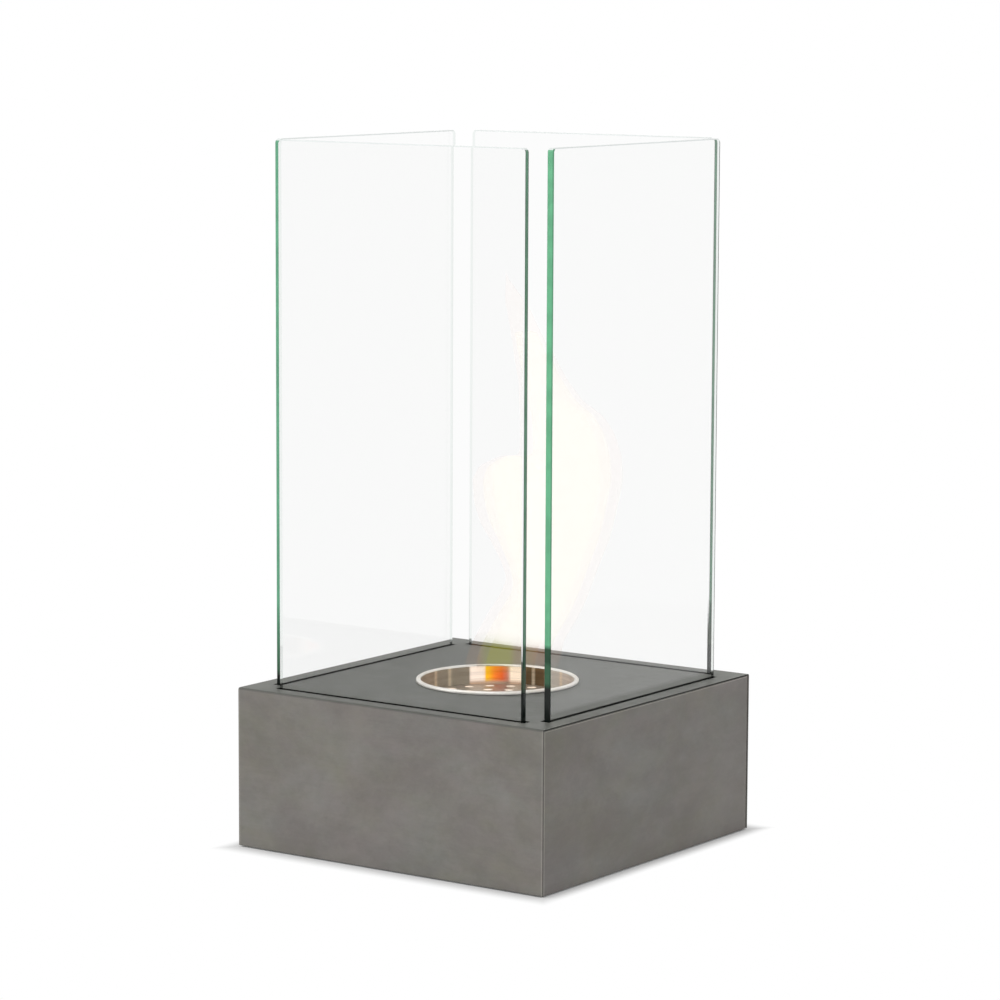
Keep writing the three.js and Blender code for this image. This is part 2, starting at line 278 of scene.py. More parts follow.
def close_mesh():
    bpy.ops.object.mode_set(mode="OBJECT")


def finish_with(obj, kind, **settings):
    """Adds a modifier and applies it."""
    pick(obj)
    made = obj.modifiers.new(kind.lower(), kind)
    for key, value in settings.items():
        setattr(made, key, value)
    bpy.ops.object.modifier_apply(modifier=made.name)


def cut_out(obj, cutters):
    """Cuts the space of the cutters out of a piece and removes them."""
    for cutter in cutters:
        finish_with(obj, "BOOLEAN", operation="DIFFERENCE", solver="EXACT", object=cutter)
        bpy.data.objects.remove(cutter)


def soften(obj, width):
    """Softens the sharp edges and keeps the faces beside them flat."""
    finish_with(obj, "BEVEL", width=width, segments=2, limit_method="ANGLE",
                angle_limit=math.radians(SHARP), harden_normals=True)


def smooth(obj, angle=35):
    pick(obj)
    bpy.ops.object.shade_smooth_by_angle(angle=math.radians(angle))


def dress(obj, *materials):
    """Gives a piece its materials in place of any it had."""
    obj.data.materials.clear()
    for material in materials:
        obj.data.materials.append(material)


def new_group(name, inputs, outputs):
    """An empty node group with named inputs, given as name, kind and value, and named outputs."""
    group = bpy.data.node_groups.new(name, "ShaderNodeTree")
    for key, kind, value in inputs:
        group.interface.new_socket(key, in_out="INPUT", socket_type=kind).default_value = value
    for key, kind in outputs:
        group.interface.new_socket(key, in_out="OUTPUT", socket_type=kind)
    return group, group.nodes.new("NodeGroupInput").outputs


def one_surface(tree, inputs):
    """Ends a material with a single principled surface."""
    show(tree, add_node(tree, "ShaderNodeBsdfPrincipled", inputs).outputs[0])


def bumped(tree, height, strength, distance=0.0002):
    """The normal of a slight relief."""
    inputs = {"Height": height, "Strength": strength, "Distance": distance}
    return add_node(tree, "ShaderNodeBump", inputs).outputs[0]


def blended(tree, share, first, second, kind="MIX"):
    """Two colours mixed by a share."""
    inputs = {0: share, 6: first, 7: second}
    return add_node(tree, "ShaderNodeMix", inputs, data_type="RGBA", blend_type=kind).outputs[2]


# Brushing: fine lines where the vector is drawn out. Lines is 0 to 1 about 0.5.
brushing, given = new_group(
    "brushing",
    (("Vector", "NodeSocketVector", (0, 0, 0)), ("Fineness", "NodeSocketFloat", 2000.0)),
    (("Lines", "NodeSocketFloat"),),
)
lines = add_node(brushing, "ShaderNodeTexNoise",
                 {"Vector": given["Vector"], "Scale": given["Fineness"], "Detail": 3.0, "Roughness": 0.6})
add_node(brushing, "NodeGroupOutput", {"Lines": lines.outputs["Fac"]})

# Clouding: large soft patches, from 0 to 1, as rolled steel has under lacquer.
clouding, given = new_group(
    "clouding",
    (("Vector", "NodeSocketVector", (0, 0, 0)), ("Scale", "NodeSocketFloat", 12.0),
     ("Place", "NodeSocketFloat", 0.0)),
    (("Cloud", "NodeSocketFloat"),),
)
patches = add_node(clouding, "ShaderNodeTexNoise",
                   {"Vector": given["Vector"], "W": given["Place"], "Scale": given["Scale"],
                    "Detail": 8.0, "Roughness": 0.73, "Distortion": 0.3}, noise_dimensions="4D")
add_node(clouding, "NodeGroupOutput", {"Cloud": ease(clouding, patches.outputs["Fac"], 0.32, 0.68)})


def lines_along(tree, drawn, fineness=700.0):
    """Brushed lines on a place that is drawn out."""
    inputs = {"Vector": drawn, "Fineness": fineness}
    return add_node(tree, "ShaderNodeGroup", inputs, node_tree=brushing).outputs[0]


def clouds(tree, place, scale, at):
    """Soft patches, others for each value of at."""
    inputs = {"Vector": place, "Scale": scale, "Place": at}
    return add_node(tree, "ShaderNodeGroup", inputs, node_tree=clouding).outputs[0]


def toned(tree, colour, amount):
    """A colour made lighter or darker by a factor."""
    grey = add_node(tree, "ShaderNodeCombineColor", {0: amount, 1: amount, 2: amount}).outputs[0]
    return blended(tree, 1.0, colour, grey, "MULTIPLY")


def both_masks(tree, first, second):
    return maths(tree, "MULTIPLY", first, second)


def above(tree, value, limit):
    """A mask of 1 where value is over a limit."""
    return ease(tree, value, limit - MASK_EDGE, limit + MASK_EDGE)


def below(tree, value, limit):
    return maths(tree, "SUBTRACT", 1.0, above(tree, value, limit))


def between(tree, value, low, high):
    return both_masks(tree, above(tree, value, low), below(tree, value, high))


def where(tree, mask, factor):
    """A tone of factor where the mask is 1, and of 1 elsewhere."""
    return ease(tree, mask, 0.0, 1.0, 1.0, factor)


STEEL_GREY = (0.236, 0.235, 0.218, 1)
STEEL_OLIVE = (0.209, 0.199, 0.154, 1)
STEEL_PLUM = (0.218, 0.194, 0.188, 1)
# the top of the same sheet, painted darker as painted shade against the stronger light from above, and a
# little greener
STEEL_TOP_SHADED = (0.168, 0.171, 0.154, 1)
# painted tones of the casing's edges and of the plate between the panes, where 1 is the plain steel:
# painted shade in the folds, between the panes, in the seam under the top and on the punched walls, a
# painted highlight beside the sheared ends and on the panels' edges, and on the sheared ends their raw
# edge's own dark with painted shade
FOLD_SHADE_TONE = 0.70
PANES_SHADE_TONE = 0.87
BESIDE_END_HIGHLIGHT = 1.28                # the line beside a sheared end
END_TONE = 0.60
UNDER_TOP_SHADE = 0.10                 # the seam under the top, at the sheared ends
PUNCHED_SHADE = 0.02
PANEL_EDGE_HIGHLIGHT = 1.55
PLATE_INNER = (0.118, 0.119)          # within this the top's walls are those of the slots and the opening


def casing_steel(name, drawn, tone, marks):
    """The casing's steel, brushed along the axis with the small share in drawn, darkened by tone as
    painted shade where it is below 1, and with painted shade and highlight on its edges from marks.
    """
    material, tree, place = new_material(name)
    along = add_node(tree, "ShaderNodeMapping", {"Vector": place, "Scale": drawn}).outputs[0]
    line = lines_along(tree, along)
    less_drawn = [0.6 + 0.4 * share for share in drawn]
    flow = add_node(tree, "ShaderNodeMapping", {"Vector": place, "Scale": less_drawn}).outputs[0]
    olive, plum = clouds(tree, flow, 20.0, 1.7), clouds(tree, flow, 26.0, 9.1)
    light, mottle = clouds(tree, flow, 16.0, 4.2), clouds(tree, flow, 95.0, 6.4)
    colour = blended(tree, maths(tree, "MULTIPLY", olive, 0.75), STEEL_GREY, STEEL_OLIVE)
    colour = blended(tree, maths(tree, "MULTIPLY", plum, 0.75), colour, STEEL_PLUM)
    x, y, height = xyz(tree, place)
    wide, deep = maths(tree, "ABSOLUTE", x), maths(tree, "ABSOLUTE", y)
    colour, edge_tone = marks(tree, colour, wide, deep, height)
    shade = ease(tree, line, 0.25, 0.75, 0.98 * tone, 1.02 * tone)
    shade = maths(tree, "MULTIPLY", shade, ease(tree, light, 0.0, 1.0, 0.92, 1.09))
    shade = maths(tree, "MULTIPLY", shade, ease(tree, mottle, 0.0, 1.0, 0.95, 1.05))
    colour = toned(tree, colour, maths(tree, "MULTIPLY", shade, edge_tone))
    wear = maths(tree, "ADD", maths(tree, "MULTIPLY", line, 0.4), maths(tree, "MULTIPLY", mottle, 0.6))
    one_surface(tree, {
        "Base Color": colour, "Roughness": ease(tree, wear, 0.1, 0.9, 0.46, 0.58), "Metallic": 0.35,
        "Specular IOR Level": 0.25, "Normal": bumped(tree, line, 0.03),
    })
    return material


def shell_marks(tree, colour, wide, deep, height):
    """The top's darker tone, itself painted shade, with painted shade between the panes, in the folds, in
    the seam under the top and on the punched walls, a painted highlight beside the sheared ends, and on
    those ends their raw dark with painted shade.
    """
    end_x, end_y, top = shell_high
    out = maths(tree, "MAXIMUM", wide, deep)
    on_top = above(tree, height, top - 0.8 * SHEET)
    # painted shade on the top
    colour = blended(tree, on_top, colour, STEEL_TOP_SHADED)
    # painted shade in the fold
    round_fold = maths(tree, "ADD", deep, height)
    tone = ease(tree, round_fold, end_y + top - 1.1 * FOLD, end_y + top - 0.75 * FOLD, 1.0, FOLD_SHADE_TONE)
    hearth = both_masks(tree, on_top, ease(tree, out, -slot_near, -slot_far, 1.0, 0.0))
    end = above(tree, wide, end_x - 0.3 * SHEET)
    seam = between(tree, height, top - 0.8 * SHEET, top - 0.2 * SHEET)
    in_plate = between(tree, height, top - 0.92 * SHEET, top - 0.2 * SHEET)
    # painted highlight beside the sheared ends; painted shade between the panes, on the ends, in the seam
    # and on the punched walls
    for mask, factor in (
        (between(tree, wide, end_x - 1.2 * SHEET, end_x - 0.3 * SHEET), BESIDE_END_HIGHLIGHT),
        (hearth, PANES_SHADE_TONE), (end, END_TONE), (both_masks(tree, end, seam), UNDER_TOP_SHADE),
        (both_masks(tree, in_plate, ease(tree, out, *PLATE_INNER, 1.0, 0.0)), PUNCHED_SHADE),
    ):
        tone = maths(tree, "MULTIPLY", tone, where(tree, mask, factor))
    return colour, tone


def panel_marks(tree, colour, wide, deep, height):
    """A side panel's folds and its upper edge get a painted highlight."""
    folded = above(tree, deep, panel_high.y - SHEET)
    upper = above(tree, height, panel_high.z - 0.7 * SHEET)
    return colour, where(tree, maths(tree, "MAXIMUM", folded, upper), PANEL_EDGE_HIGHLIGHT)


panel_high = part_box("side_panel_right")[1]
shell_steel = casing_steel("shell_steel", (0.04, 1.0, 1.0), 1.0, shell_marks)
# the side panels' steel is toned 0.91, a painted shade on the sides
panel_steel_shaded = casing_steel("panel_steel_shaded", (1.0, 0.04, 1.0), 0.91, panel_marks)

shell = new_box("casing_shell_folded", shell_low, shell_high)
open_mesh(shell, "FACE", lambda f: abs(f.normal.x) > 0.9 or f.normal.z < -0.9)
bpy.ops.mesh.delete(type="FACE")
close_mesh()
open_mesh(shell, "EDGE", lambda e: all(v.co.z > shell_high.z - NEAR for v in e.verts)
          and abs(e.verts[0].co.y - e.verts[1].co.y) < NEAR)
bpy.ops.mesh.bevel(offset=FOLD, segments=BEND_STEPS, affect="EDGES")
close_mesh()
finish_with(shell, "SOLIDIFY", thickness=SHEET, offset=-1)
punches = []
for turn in range(4):
    punch = new_box("punch", (-slot_half, slot_far, shell_high.z - PUNCH_REACH),
                    (slot_half, slot_near, shell_high.z + PUNCH_REACH))
    punch.rotation_euler.z = turn * math.pi / 2
    punches.append(settle(punch, "punch"))
calm()
bpy.ops.mesh.primitive_cylinder_add(vertices=OPENING_CORNERS, radius=opening, depth=2 * PUNCH_REACH,
                                    location=(0, 0, shell_high.z))
punches.append(settle(bpy.context.object, "punch"))
cut_out(shell, punches)
smooth(shell)
soften(shell, PUNCHED_EDGE)
dress(shell, shell_steel)
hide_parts("casing_shell")
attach(shell, "base")


# ---------------------------------------------------------------- side panels
# Two flat panels of the same steel close the ends of the shell. Each has a flange folded in along both
# upright edges, and is welded to the shell from inside, so that a dark seam stays open round it.

PANEL_FOLD = 0.0014
for side in ("right", "left"):
    low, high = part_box("side_panel_" + side)
    outward = 1 if side == "right" else -1
    panel = new_box("side_panel_folded_" + side, low, high)
    open_mesh(panel, "FACE", lambda f: abs(f.normal.z) > 0.9 or f.normal.x * outward < -0.9)
    bpy.ops.mesh.delete(type="FACE")
    close_mesh()
    open_mesh(panel, "EDGE", lambda e: abs(e.verts[0].co.z - e.verts[1].co.z) > 0.01
              and e.verts[0].co.x * outward > max(abs(low.x), abs(high.x)) - NEAR)
    bpy.ops.mesh.bevel(offset=PANEL_FOLD, segments=BEND_STEPS, affect="EDGES")
    close_mesh()
    finish_with(panel, "SOLIDIFY", thickness=SHEET, offset=-1)
    smooth(panel)
    soften(panel, PUNCHED_EDGE)
    dress(panel, panel_steel_shaded)
    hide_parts("side_panel_" + side)
    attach(panel, "base")


# ---------------------------------------------------------------- bottom plate, brackets and channels
# The zinc-plated brackets are welded into the corners of the casing and carry the bottom plate. A channel
# hangs under each slot and holds the foot of its pane; it is painted near-black, a painted shade seen down
# the slots.


def noised(tree, place, scale, detail=2.0, distortion=0.0):
    """Fine noise about 0.5."""
    inputs = {"Vector": place, "Scale": scale, "Detail": detail, "Distortion": distortion}
    return add_node(tree, "ShaderNodeTexNoise", inputs).outputs["Fac"]


def plated_steel(name, colour, drawn):
    """Dull zinc plate with a fine spangle."""
    material, tree, place = new_material(name)
    along = add_node(tree, "ShaderNodeMapping", {"Vector": place, "Scale": drawn}).outputs[0]
    line = lines_along(tree, along)
    spangle = add_node(tree, "ShaderNodeTexVoronoi", {"Vector": place, "Scale": 160.0, "Randomness": 1.0})
    half_cloud = maths(tree, "MULTIPLY", clouds(tree, place, 30.0, 3.3), 0.5)
    grain = maths(tree, "MULTIPLY_ADD", spangle.outputs["Distance"], 0.25, half_cloud)
    dark = tuple(0.78 * v for v in colour[:3]) + (1,)
    one_surface(tree, {
        "Base Color": blended(tree, grain, colour, dark), "Metallic": 0.85,
        "Roughness": ease(tree, grain, 0.0, 0.8, 0.38, 0.55), "Normal": bumped(tree, line, 0.08),
    })
    return material


ZINC = (0.42, 0.43, 0.44, 1)
plate_zinc = plated_steel("plate_zinc", ZINC, (0.05, 1.0, 1.0))
CORNERS = ("front_left", "front_right", "back_right", "back_left")
SIDES = ("front", "right", "back", "left")
for name in ["bottom_plate"] + ["corner_bracket_" + c for c in CORNERS]:
    dress(nodes[name], plate_zinc)

# near-black paint on the channels: painted shade seen down the slots
slot_shade_black, tree, place = new_material("slot_shade_black")
pebble = noised(tree, place, 700.0)
dust = maths(tree, "MULTIPLY", clouds(tree, place, 50.0, 2.6), 0.6)
one_surface(tree, {
    "Base Color": blended(tree, dust, (0.008, 0.008, 0.008, 1), (0.016, 0.0155, 0.015, 1)),
    "Roughness": ease(tree, pebble, 0.3, 0.7, 0.5, 0.65), "Specular IOR Level": 0.3,
    "Normal": bumped(tree, pebble, 0.2, 0.0001),
})
for side in SIDES:
    dress(nodes["glass_channel_" + side], slot_shade_black)


# ---------------------------------------------------------------- feet and screws
# Moulded rubber feet with a recess, each held by a pan-head screw that goes up into a bracket.

rubber, tree, place = new_material("foot_rubber")
speckle = noised(tree, place, 900.0, 4.0)
dust = maths(tree, "MULTIPLY", clouds(tree, place, 60.0, 2.0), 0.5)
one_surface(tree, {
    "Base Color": blended(tree, dust, (0.010, 0.010, 0.010, 1), (0.030, 0.029, 0.028, 1)),
    "Roughness": ease(tree, speckle, 0.3, 0.7, 0.6, 0.8), "Normal": bumped(tree, speckle, 0.3, 0.0001),
})
for corner in CORNERS:
    dress(nodes["foot_" + corner], rubber)
screw_zinc = plated_steel("screw_zinc", (0.62, 0.63, 0.64, 1), (1.0, 1.0, 0.2))
for corner in CORNERS:
    dress(nodes["foot_screw_" + corner], screw_zinc)


# ---------------------------------------------------------------- rest strips
# A soft silicone strip lies in the bottom of each channel, so that glass never stands on steel.

silicone, tree, place = new_material("silicone")
milk = clouds(tree, place, 80.0, 6.0)
one_surface(tree, {
    "Base Color": blended(tree, milk, (0.62, 0.65, 0.63, 1), (0.70, 0.72, 0.71, 1)),
    "Roughness": ease(tree, milk, 0.0, 1.0, 0.42, 0.55),
})
for side in SIDES:
    dress(nodes["glass_strip_" + side], silicone)


# ---------------------------------------------------------------- burner cup
# A cup drawn from bright stainless sheet, with a step that carries the cover and a rim rolled outwards
# over the casing. It is polished in the lathe, so its lines run round. Its inner wall is painted in bands,
# partly heat tint and partly painted reflection, with a painted glow of the flame on it.

cover_low, cover_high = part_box("burner_cover")
CUP_WALL = 0.0008
CUP_CORNER = 0.005                    # radius between wall and floor
CUP_STEP = 0.0022                     # width of the step under the cover
STEP_FOLD = 0.0003
COVER_PLAY = 0.0004
COVER_SEAT = 0.0003
RIM_BEND = 0.0016
ROUND = 160                           # corners of a ring
mouth = cover_high.x + COVER_PLAY
throat = mouth - CUP_STEP
step_height = cover_low.z - COVER_SEAT


def draw_rings(name, rings, corners=ROUND):
    """A turned skin drawn from ring to ring, each given as radius and height, without its ends."""
    calm()
    radius, height = rings[0]
    bpy.ops.mesh.primitive_circle_add(vertices=corners, radius=radius, location=(0, 0, height))
    skin = settle(bpy.context.object, name)
    open_mesh(skin, "EDGE", lambda e: True)
    for to_radius, to_height in rings[1:]:
        bpy.ops.mesh.extrude_edges_move(TRANSFORM_OT_translate={"value": (0, 0, to_height - height)})
        share = to_radius / radius
        bpy.ops.transform.resize(value=(share, share, 1), center_override=(0, 0, 0))
        radius, height = to_radius, to_height
    close_mesh()
    return skin


def fill_and_turn_out(skin, rings=None):
    """Fills the open rings, or only those at the given heights, and turns the faces outwards."""
    open_mesh(skin, "EDGE", lambda e: e.is_boundary and (rings is None or any(
        abs(e.verts[0].co.z - height) < NEAR for height in rings)))
    bpy.ops.mesh.fill_holes(sides=0)
    bpy.ops.mesh.select_all(action="SELECT")
    bpy.ops.mesh.normals_make_consistent(inside=False)
    close_mesh()


def round_ring(obj, radius, height, bend, segments):
    """Rounds the fold along one ring."""
    open_mesh(obj, "EDGE", lambda e: all(abs(math.hypot(v.co.x, v.co.y) - radius) < 2 * NEAR
                                         and abs(v.co.z - height) < 2 * NEAR for v in e.verts))
    bpy.ops.mesh.bevel(offset=bend, segments=segments, affect="EDGES")
    close_mesh()


def turned_coordinates(tree, place):
    """Angle about the upright axis in turns, radius and height as three sockets."""
    x, y, height = xyz(tree, place)
    angle = maths(tree, "DIVIDE", maths(tree, "ARCTAN2", y, x), 2 * math.pi)
    squares = maths(tree, "ADD", maths(tree, "POWER", x, 2.0), maths(tree, "POWER", y, 2.0))
    return angle, maths(tree, "SQRT", squares), height


def ramp(tree, value, low, high, stops):
    """A colour read off along a value, from stops given as value and colour."""
    inputs = {"Value": value, "From Min": low, "From Max": high}
    made = add_node(tree, "ShaderNodeValToRGB",
                    {"Fac": add_node(tree, "ShaderNodeMapRange", inputs).outputs["Result"]})
    points = made.color_ramp.elements
    points.remove(points[-1])
    points[0].position = (stops[0][0] - low) / (high - low)
    points[0].color = (*stops[0][1], 1)
    for at, colour in stops[1:]:
        points.new((at - low) / (high - low)).color = (*colour, 1)
    return made.outputs[0]


BRIGHT = (0.80, 0.77, 0.72)
RIM_WHITE = (0.92, 0.90, 0.86, 1)
# warm patches on the rim: painted reflection of the flame
RIM_PAINTED_REFLECTION = (0.74, 0.67, 0.58, 1)
SILVER = (0.60, 0.55, 0.48)
STRAW = (0.82, 0.69, 0.50)
COFFEE = (0.15, 0.088, 0.034)
ASH = (0.37, 0.315, 0.235)
SMOKE = (0.39, 0.335, 0.255)
DARK_UNDER_GLOW = (0.03, 0.02, 0.012)
NONE = (0, 0, 0)
CREAM = (1.0, 0.80, 0.60)
PALE = (1.0, 0.82, 0.68)
DUSK = (0.50, 0.19, 0.12)
EMBER = (0.76, 0.10, 0.008)
AMBER = (0.92, 0.20, 0.004)
YELLOW = (1.0, 0.49, 0.0)
# the wall by its angle from the right, in degrees: its colour, partly heat tint of the steel and partly
# painted reflection, and the painted glow of the flame on it
WALL_TINTS_AND_PAINTED_GLOW = (
    (0.0, BRIGHT, NONE), (34.0, BRIGHT, NONE), (36.0, SILVER, NONE), (66.5, SILVER, NONE),
    (69.0, STRAW, NONE), (71.5, SILVER, NONE), (83.0, SILVER, NONE), (84.5, COFFEE, NONE),
    (93.0, COFFEE, NONE), (95.0, STRAW, NONE), (97.0, COFFEE, NONE), (102.0, COFFEE, NONE),
    (103.5, DARK_UNDER_GLOW, CREAM), (112.8, DARK_UNDER_GLOW, CREAM), (114.5, DARK_UNDER_GLOW, DUSK),
    (119.5, DARK_UNDER_GLOW, EMBER), (125.5, DARK_UNDER_GLOW, AMBER), (131.0, DARK_UNDER_GLOW, YELLOW),
    (132.6, DARK_UNDER_GLOW, YELLOW), (133.8, DARK_UNDER_GLOW, PALE), (144.6, DARK_UNDER_GLOW, PALE),
    (146.2, ASH, NONE), (161.0, ASH, NONE), (163.5, STRAW, NONE),
    (166.0, SMOKE, NONE), (176.5, SMOKE, NONE), (179.0, STRAW, NONE), (181.5, SMOKE, NONE),
    (214.0, SMOKE, NONE), (217.0, BRIGHT, NONE), (360.0, BRIGHT, NONE),
)
# a painted glow of the flame low on the wall
LOW_PAINTED_GLOW = (0.50, 0.32, 0.21, 1)
GLOW_EDGE = (0.0988, 0.1022)          # heights between which the flame's glow gives way to the low glow
ROLL_BAND = (0.0015, 0.0009)          # where the bright roll of the rim begins, below its top
RIM_METALLIC = 0.95
# a painted glow of the flame, on the walls of the punched holes
HOLE_GLOW = (0.58, 0.52, 0.46, 1)     # on the walls of the punched holes
HOLE_GLOW_TOP = 0.0002                # how far below the cover's top it begins
HOLE_GLOW_SOFT = 0.00006
COVER_MARGIN = (0.0015, 0.001)        # the cover's own edge, from there to there inside it, has none
cup_low, cup_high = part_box("burner_cup")


def stainless(name, tint, metallic, rough, painted_wall=False, lit_holes=False):
    """Stainless steel with turning lines. The inner wall may have bands, partly heat tint and partly
    painted reflection, with a painted glow of the flame, and punched holes a painted glow.
    """
    material, tree, place = new_material(name)
    angle, radius, height = turned_coordinates(tree, place)
    turn = maths(tree, "MULTIPLY", angle, 0.01)
    turned = add_node(tree, "ShaderNodeCombineXYZ", {0: turn, 1: radius, 2: height}).outputs[0]
    line = lines_along(tree, turned, 1000.0)
    cloud = clouds(tree, place, 40.0, 5.0)
    darker = tuple(0.85 * value for value in tint[:3]) + (1,)
    colour = blended(tree, maths(tree, "MULTIPLY", cloud, 0.25), tint, darker)
    glow = None
    if painted_wall:
        # bands of heat tint and painted reflection on the wall, with a painted glow of the flame and a
        # painted reflection on the rim
        degrees = maths(tree, "MULTIPLY", maths(tree, "FRACT", angle), 360.0)
        rolled = ease(tree, height, cup_high.z - ROLL_BAND[0], cup_high.z - ROLL_BAND[1])
        metallic = ease(tree, rolled, 0.0, 1.0, metallic, RIM_METALLIC)
        inner = both_masks(tree, above(tree, height, step_height),
                           below(tree, radius, mouth + CUP_WALL / 2))
        wall = ramp(tree, degrees, 0.0, 360.0, [(at, steel) for at, steel, _ in WALL_TINTS_AND_PAINTED_GLOW])
        wall = blended(tree, inner, colour, wall)
        # painted reflection of the flame in warm patches on the rim
        rim = blended(tree, maths(tree, "MULTIPLY", cloud, 0.7), RIM_WHITE, RIM_PAINTED_REFLECTION)
        colour = blended(tree, rolled, wall, rim)
        shine = ramp(tree, degrees, 0.0, 360.0, [(at, shine) for at, _, shine in WALL_TINTS_AND_PAINTED_GLOW])
        lit = add_node(tree, "ShaderNodeSeparateColor", {0: shine}).outputs[0]
        low = blended(tree, lit, NONE + (1,), LOW_PAINTED_GLOW)
        glow = blended(tree, ease(tree, height, *GLOW_EDGE), low, shine)
        glow = blended(tree, maths(tree, "SUBTRACT", inner, rolled, clamp=True), NONE + (1,), glow)
        glow = toned(tree, glow, ease(tree, line, 0.25, 0.75, 0.82, 1.12))
    if lit_holes:
        # painted glow of the flame in the punched holes
        begin = cover_high.z - HOLE_GLOW_TOP
        inside = ease(tree, radius, *(cover_high.x - margin for margin in COVER_MARGIN), 1.0, 0.0)
        hole = both_masks(tree, ease(tree, height, begin - HOLE_GLOW_SOFT, begin, 1.0, 0.0), inside)
        glow = blended(tree, hole, NONE + (1,), HOLE_GLOW)
    colour = toned(tree, colour, ease(tree, line, 0.3, 0.7, 0.84, 1.10))
    inputs = {"Base Color": colour, "Roughness": ease(tree, line, 0.3, 0.7, *rough), "Metallic": metallic,
              "Normal": bumped(tree, line, 0.05)}
    if glow is not None:
        inputs.update({"Emission Color": glow, "Emission Strength": 1.0})
    one_surface(tree, inputs)
    return material


cup_steel = stainless("cup_steel", (*BRIGHT, 1), 0.45, (0.32, 0.42), painted_wall=True)
cover_steel = stainless("cover_steel", (0.46, 0.38, 0.30, 1), 0.5, (0.36, 0.48), lit_holes=True)

cup_floor = cup_low.z + CUP_WALL
cup = draw_rings("burner_cup_drawn", (
    (cup_high.x, shell_high.z + COVER_SEAT), (cup_high.x, cup_high.z), (mouth, cup_high.z),
    (mouth, step_height), (throat, step_height), (throat, cup_floor),
))
fill_and_turn_out(cup, [cup_floor])
if cup.data.polygons[-1].normal.z < 0:
    open_mesh(cup, "FACE", lambda f: True)
    bpy.ops.mesh.flip_normals()
    close_mesh()
round_ring(cup, throat, cup_floor, CUP_CORNER, BEND_STEPS)
round_ring(cup, throat, step_height, STEP_FOLD, 2)
round_ring(cup, mouth, step_height, STEP_FOLD, 2)
round_ring(cup, mouth, cup_high.z, RIM_BEND, BEND_STEPS)
round_ring(cup, cup_high.x, cup_high.z, RIM_BEND, BEND_STEPS)
finish_with(cup, "SOLIDIFY", thickness=CUP_WALL, offset=-1)
smooth(cup)
dress(cup, cup_steel)
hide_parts("burner_cup")
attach(cup, "burner")


# ---------------------------------------------------------------- ceramic wool
# A pad of white ceramic fibre that soaks up the fuel. It fills the cup under the cover, and its matted top
# shows through the holes, with a painted glow of the flame.

wool_low, wool_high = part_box("ceramic_wool")
wool_radius = wool_high.x
WOOL_RINGS = 12                       # rings over the top of the pad
WOOL_CORNERS = 96                     # corners of a ring
WOOL_FOOT = 0.004                     # slant round its foot
WOOL_BROW = (0.0016, 0.003)           # slant round its top, inwards and down
TUFT_LEVEL = 0.0012                   # how far under its top the tufts lie
TUFT_RISE = 0.0011                    # how far they rise and sink
TUFT_ZONE = 0.002                     # how far down there are any
TUFT_COUNT = 260.0                    # tufts to the metre
wool = draw_rings("wool_pad", (
    (wool_radius - WOOL_FOOT, wool_low.z), (wool_radius, wool_low.z + WOOL_FOOT),
    (wool_radius, (wool_low.z + wool_high.z) / 2), (wool_radius, wool_high.z - WOOL_BROW[1]),
    (wool_radius - WOOL_BROW[0], wool_high.z),
    *((wool_radius * ring / WOOL_RINGS, wool_high.z) for ring in range(WOOL_RINGS - 1, 0, -1)),
), corners=WOOL_CORNERS)
fill_and_turn_out(wool)
finish_with(wool, "SUBSURF", levels=1, render_levels=1)
for corner in wool.data.vertices:
    if corner.co.z > wool_high.z - TUFT_ZONE:
        corner.co.z = wool_high.z - TUFT_LEVEL + TUFT_RISE * noise.noise(corner.co * TUFT_COUNT)
fibre, tree, place = new_material("ceramic_fibre")
matted = noised(tree, place, 1400.0, 6.0, 2.0)
scorch = maths(tree, "MULTIPLY", clouds(tree, place, 55.0, 8.0), 0.4)
tint = blended(tree, scorch, (0.92, 0.90, 0.86, 1), (0.78, 0.72, 0.62, 1))
# the emission is a painted glow of the flame
one_surface(tree, {
    "Base Color": tint, "Roughness": ease(tree, matted, 0.3, 0.7, 0.85, 1.0),
    "Sheen Weight": 0.3, "Normal": bumped(tree, matted, 0.6, 0.0004),
    "Emission Color": tint, "Emission Strength": 0.5,
})
smooth(wool, 180)
dress(wool, fibre)
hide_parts("ceramic_wool")
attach(wool, "burner")


# ---------------------------------------------------------------- perforated cover
# A stainless disc on the cup's step, with a hole in the middle and three rings of punched holes, whose
# edges are drawn slightly round. The walls of the holes have a painted glow of the flame.

HOLE = 0.00325                        # radius
HOLE_RING = 0.014                     # from one ring of holes to the next
HOLE_RINGS = 3
HOLE_CORNERS = 32
HOLE_EDGE = 0.00015                   # softened edge of the holes
calm()
bpy.ops.mesh.primitive_circle_add(vertices=ROUND, radius=cover_high.x, fill_type="NGON",
                                  location=(0, 0, cover_high.z))
cover = settle(bpy.context.object, "burner_cover_punched")
finish_with(cover, "SOLIDIFY", thickness=cover_high.z - cover_low.z, offset=-1)
spots = [(0.0, 0.0)]
for number in range(1, HOLE_RINGS + 1):
    for index in range(6 * number):
        turn = 2 * math.pi * (index + 0.5) / (6 * number)
        spots.append((number * HOLE_RING * math.cos(turn), number * HOLE_RING * math.sin(turn)))
calm()
bpy.ops.mesh.primitive_cylinder_add(vertices=HOLE_CORNERS, radius=HOLE, depth=PUNCH_REACH,
                                    location=(*spots[0], (cover_low.z + cover_high.z) / 2))
punches = [settle(bpy.context.object, "punch")]
for x, y in spots[1:]:
    pick(punches[0])
    bpy.ops.object.duplicate()
    bpy.context.object.location = (x, y, 0)
    punches.append(bpy.context.object)
pick(*punches)
bpy.ops.object.join()
cut_out(cover, [settle(punches[0], "punch")])
smooth(cover)
soften(cover, HOLE_EDGE)
dress(cover, cover_steel)
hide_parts("burner_cover")
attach(cover, "burner")


